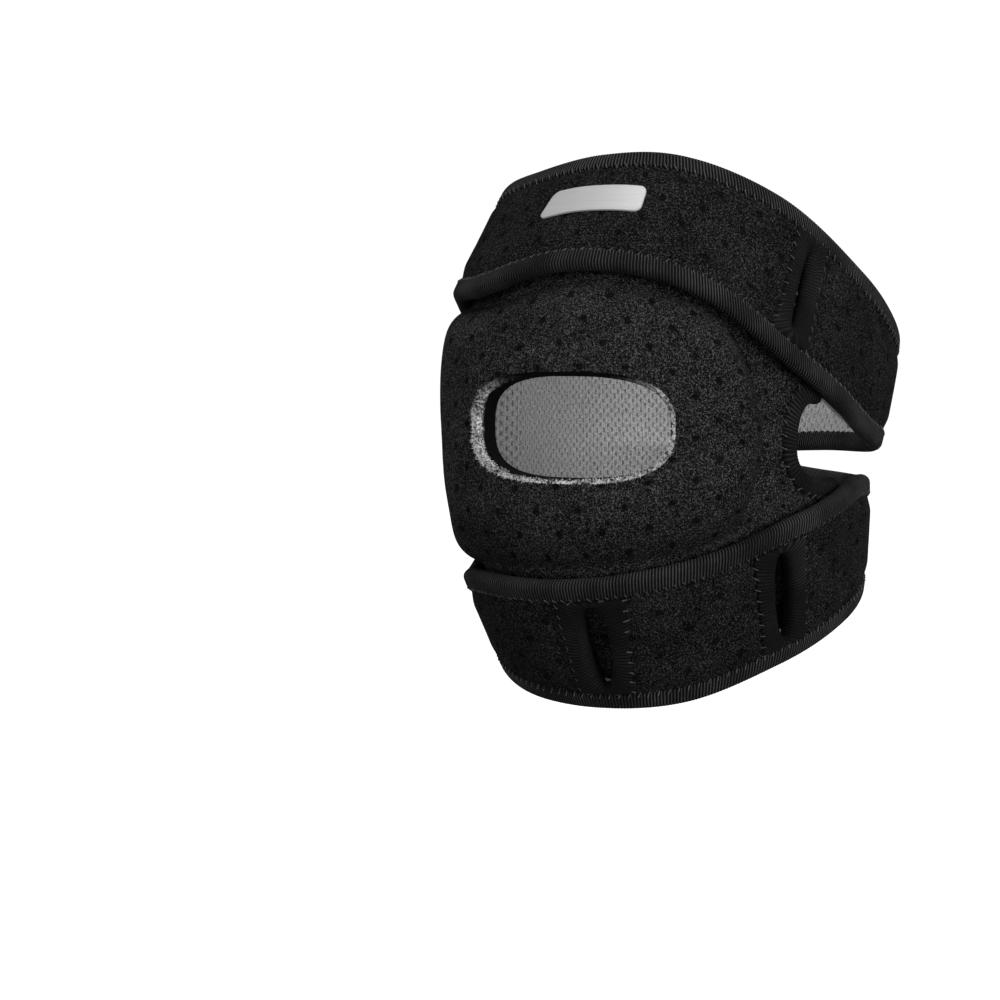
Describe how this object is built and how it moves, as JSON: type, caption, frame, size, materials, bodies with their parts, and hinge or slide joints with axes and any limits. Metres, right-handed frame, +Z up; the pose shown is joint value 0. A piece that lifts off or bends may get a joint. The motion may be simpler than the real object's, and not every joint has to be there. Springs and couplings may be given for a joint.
{
  "type": "open-kneecap knee strap",
  "caption": "Worn knee support with a domed padded panel round an oval kneecap window, and two wide wrap straps with finger slots above and below it.",
  "frame": {"origin": "middle of the leg's hollow, level with the middle of the kneecap window", "axes": "-Y is the front of the knee, +Z runs up the leg, +X is the side with the open gap between the straps"},
  "size_m": [0.1193, 0.1348, 0.1501],
  "materials": {
    "loop_cloth": "matte brushed loop knit laminated to foam",
    "edge_tape": "matte ribbed knit tape",
    "mesh_lining": "matte knitted mesh",
    "cut_edge": "fuzzy cut edge of the lining cloth",
    "label": "satin silver-grey film"
  },
  "bodies": {
    "root": {"kneecap_panel": "loop_cloth", "panel_lining": "mesh_lining", "window_edge": "cut_edge", "side_notch_tape": "edge_tape", "upper_strap": "loop_cloth", "upper_strap_lining": "mesh_lining", "upper_top_tape": "edge_tape", "upper_bottom_tape": "edge_tape", "upper_hook_tab": "loop_cloth", "upper_side_slot_tape": "edge_tape", "label_patch": "label", "lower_strap": "loop_cloth", "lower_strap_lining": "mesh_lining", "lower_top_tape": "edge_tape", "lower_bottom_tape": "edge_tape", "lower_hook_tab": "loop_cloth", "lower_front_slot_tape": "edge_tape", "lower_side_slot_tape": "edge_tape"}
  },
  "joints": []
}
